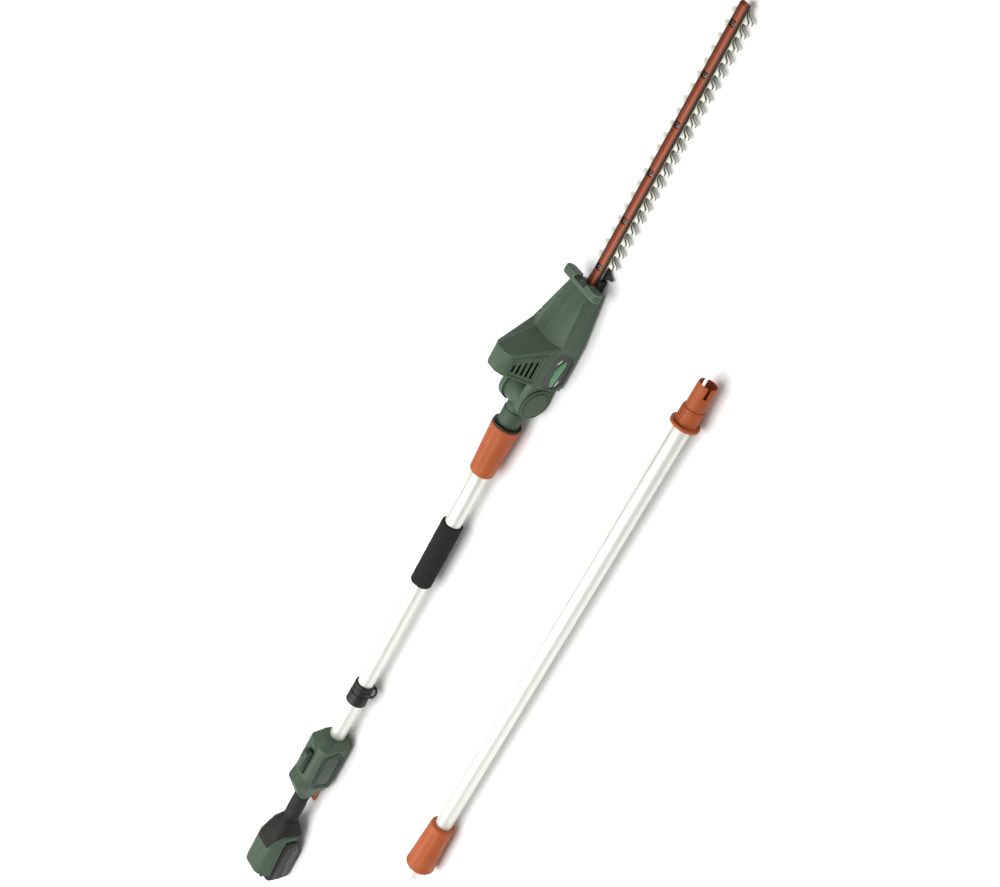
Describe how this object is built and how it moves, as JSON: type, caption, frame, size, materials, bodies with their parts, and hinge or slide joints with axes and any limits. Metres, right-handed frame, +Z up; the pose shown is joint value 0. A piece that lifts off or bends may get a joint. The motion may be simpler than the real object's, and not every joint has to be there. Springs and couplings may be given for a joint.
{
  "type": "cordless pole hedge trimmer",
  "caption": "Battery pole hedge trimmer with a tilting double-sided blade head, foam and rubber grips, and a separate plug-in extension tube lying beside it",
  "frame": {"origin": "centre of the bounding box at its lowest plane, on which the tool lies", "axes": "X along the pole towards the blade tip, Y to the left of the pole seen from behind, Z up"},
  "size_m": [1.937, 0.3777, 0.137],
  "materials": {
    "pole_metal": "satin anodised",
    "cable_rubber": "smooth",
    "foam": "fine open-cell foam, matt",
    "black_plastic": "fine grain",
    "steel": "zinc plated",
    "contact_metal": "polished",
    "green_plastic": "fine spark-eroded grain",
    "dark_green_plastic": "fine grain",
    "glossy_black": "smooth, semi-gloss",
    "grip_rubber": "matt, fine texture",
    "orange_plastic": "satin",
    "copper_paint": "satin paint",
    "blade_steel": "ground, bright",
    "dark_steel": "black oxide",
    "gearbox_alloy": "die-cast",
    "board_green": "solder resist",
    "cell_wrap": "shrink wrap"
  },
  "bodies": {
    "pole": {"pole_tube": "pole_metal", "pole_cable": "cable_rubber", "foam_grip": "foam", "strap_ring": "black_plastic", "strap_band": "black_plastic", "strap_screw": "steel", "pole_end_disc": "black_plastic", "pole_contacts": "contact_metal", "handle_shell_left": "green_plastic", "handle_shell_right": "green_plastic", "grip_rubber": "grip_rubber", "side_panel_left": "dark_green_plastic", "side_panel_right": "dark_green_plastic", "handle_screws": "steel", "main_switch": "black_plastic", "control_board": "board_green", "battery_terminals": "black_plastic"},
    "trigger": {"trigger": "orange_plastic"},
    "lock_off": {"lock_off_lever": "green_plastic"},
    "battery": {"battery_case": "glossy_black", "battery_lid": "glossy_black", "battery_cells": "cell_wrap"},
    "latch": {"battery_latch": "black_plastic"},
    "sleeve": {"locking_sleeve": "orange_plastic"},
    "neck": {"neck_yoke": "green_plastic", "neck_ring": "black_plastic"},
    "head": {"pivot_pin": "steel", "pivot_cap_left": "green_plastic", "pivot_cap_right": "green_plastic", "head_shell_left": "green_plastic", "head_shell_right": "green_plastic", "vent_grille_left": "green_plastic", "vent_grille_right": "green_plastic", "badge_plate_left": "glossy_black", "badge_plate_right": "glossy_black", "cross_guard": "green_plastic", "entry_block": "black_plastic", "root_hook": "black_plastic", "head_screws": "steel", "gearbox_base": "steel", "gearbox_plate": "gearbox_alloy", "shaft_bearings": "steel", "motor_can": "steel", "guard_bar": "copper_paint", "guard_bolts": "dark_steel"},
    "rotor": {"motor_rotor": "steel", "motor_fan": "black_plastic"},
    "crank": {"crank_gear": "steel"},
    "upper_blade": {"upper_blade": "blade_steel"},
    "lower_blade": {"lower_blade": "blade_steel"},
    "tilt_button": {"tilt_button": "black_plastic"},
    "extension": {"extension_tube": "pole_metal", "extension_plug": "orange_plastic", "extension_disc": "black_plastic", "extension_contacts": "contact_metal"},
    "extension_sleeve": {"extension_sleeve": "orange_plastic"}
  },
  "joints": [
    {"name": "trigger_press", "type": "hinge", "parent": "pole", "child": "trigger", "pos_m": [-0.7215, 0.14285, 0.024], "axis": [0, 1, 0], "range_deg": [0, 12], "stiffness_Nm_per_rad": 0.6, "springref_deg": -8.59},
    {"name": "lock_off_slide", "type": "slide", "parent": "pole", "child": "lock_off", "axis": [1, 0, 0], "range_m": [0, 0.005], "stiffness_N_per_m": 400, "springref_m": -0.003},
    {"name": "battery_slide", "type": "slide", "parent": "pole", "child": "battery", "axis": [-1, 0, 0], "range_m": [0, 0.11]},
    {"name": "latch_press", "type": "slide", "parent": "battery", "child": "latch", "axis": [1, 0, 0], "range_m": [0, 0.002], "stiffness_N_per_m": 600, "springref_m": -0.003},
    {"name": "sleeve_turn", "type": "hinge", "parent": "pole", "child": "sleeve", "pos_m": [0.1165, 0.14285, 0.032], "axis": [1, 0, 0], "range_deg": [-150, 0]},
    {"name": "neck_slide", "type": "slide", "parent": "pole", "child": "neck", "axis": [1, 0, 0], "range_m": [0, 0.11]},
    {"name": "head_tilt", "type": "hinge", "parent": "neck", "child": "head", "pos_m": [0.2245, 0.14285, 0.032], "axis": [0, -1, 0], "range_deg": [-45, 90]},
    {"name": "tilt_button_press", "type": "slide", "parent": "head", "child": "tilt_button", "axis": [1, 0, 0], "range_m": [0, 0.003], "stiffness_N_per_m": 600, "springref_m": -0.003},
    {"name": "crank_spin", "type": "hinge", "parent": "head", "child": "crank", "pos_m": [0.3305, 0.14285, 0.032], "axis": [0, 0, 1], "continuous": true},
    {"name": "rotor_spin", "type": "hinge", "parent": "head", "child": "rotor", "pos_m": [0.2995, 0.14285, 0.032], "axis": [0, 0, 1], "continuous": true},
    {"name": "upper_blade_slide", "type": "slide", "parent": "head", "child": "upper_blade", "axis": [1, 0, 0], "range_m": [-0.0042, 0.007]},
    {"name": "lower_blade_slide", "type": "slide", "parent": "head", "child": "lower_blade", "axis": [1, 0, 0], "range_m": [-0.007, 0.0042]},
    {"name": "extension_lift", "type": "slide", "parent": "pole", "child": "extension", "axis": [0, 0, 1], "range_m": [0, 0.3]},
    {"name": "extension_sleeve_turn", "type": "hinge", "parent": "extension", "child": "extension_sleeve", "pos_m": [-0.5435, -0.16215, 0.0267], "axis": [1, 0, 0], "range_deg": [-150, 0]}
  ],
  "couplings": [
    {"joint": "rotor_spin", "follows": "crank_spin", "ratio": -5.6667},
    {"joint": "lower_blade_slide", "follows": "upper_blade_slide", "ratio": -1}
  ]
}
